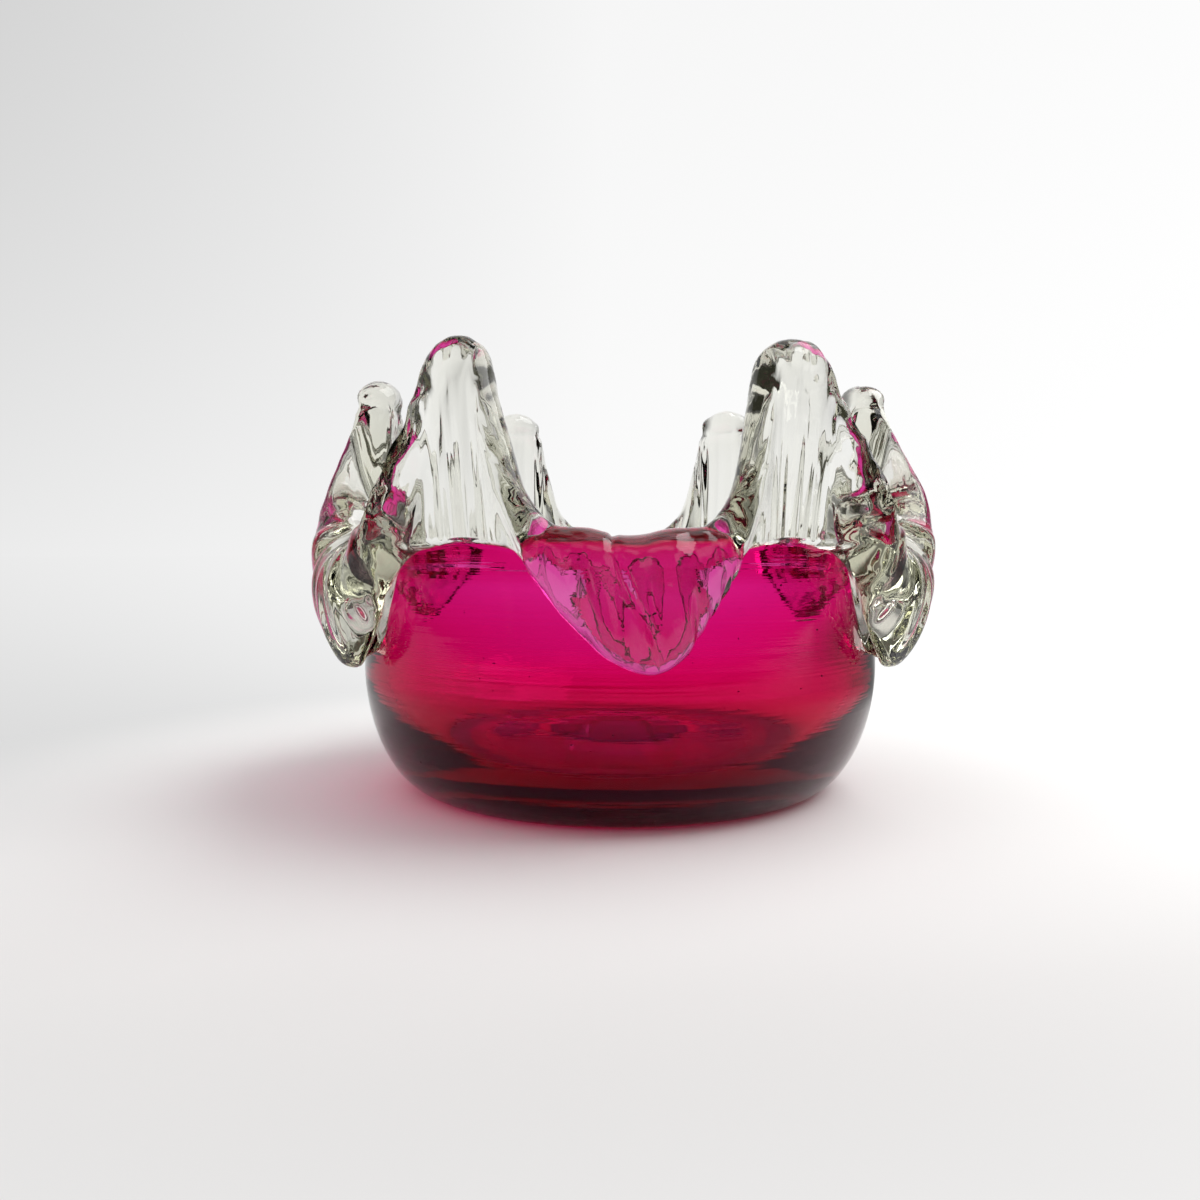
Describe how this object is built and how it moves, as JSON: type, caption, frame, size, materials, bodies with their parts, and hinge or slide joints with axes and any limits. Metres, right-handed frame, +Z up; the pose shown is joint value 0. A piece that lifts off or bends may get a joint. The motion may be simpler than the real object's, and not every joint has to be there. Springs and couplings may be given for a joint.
{
  "type": "glass bowl",
  "caption": "Small round bowl of cranberry glass with a crown of clear glass petals drawn up into prongs round its rim",
  "frame": {"origin": "centre of the ring that the bowl stands on, at table level", "axes": "+Z up through the mouth of the bowl, front towards -Y, +X to the right of the front"},
  "size_m": [0.0929, 0.0957, 0.0632],
  "materials": {
    "ruby_glass": "fire polished cranberry glass, transparent, with fine drag lines and seeds",
    "clear_glass": "clear glass, worked hot by hand, wavy, with pincer marks"
  },
  "bodies": {
    "root": {"ruby_cup": "ruby_glass", "front_petal": "clear_glass", "right_front_petal": "clear_glass", "right_back_petal": "clear_glass", "back_petal": "clear_glass", "left_back_petal": "clear_glass", "left_front_petal": "clear_glass"}
  },
  "joints": []
}
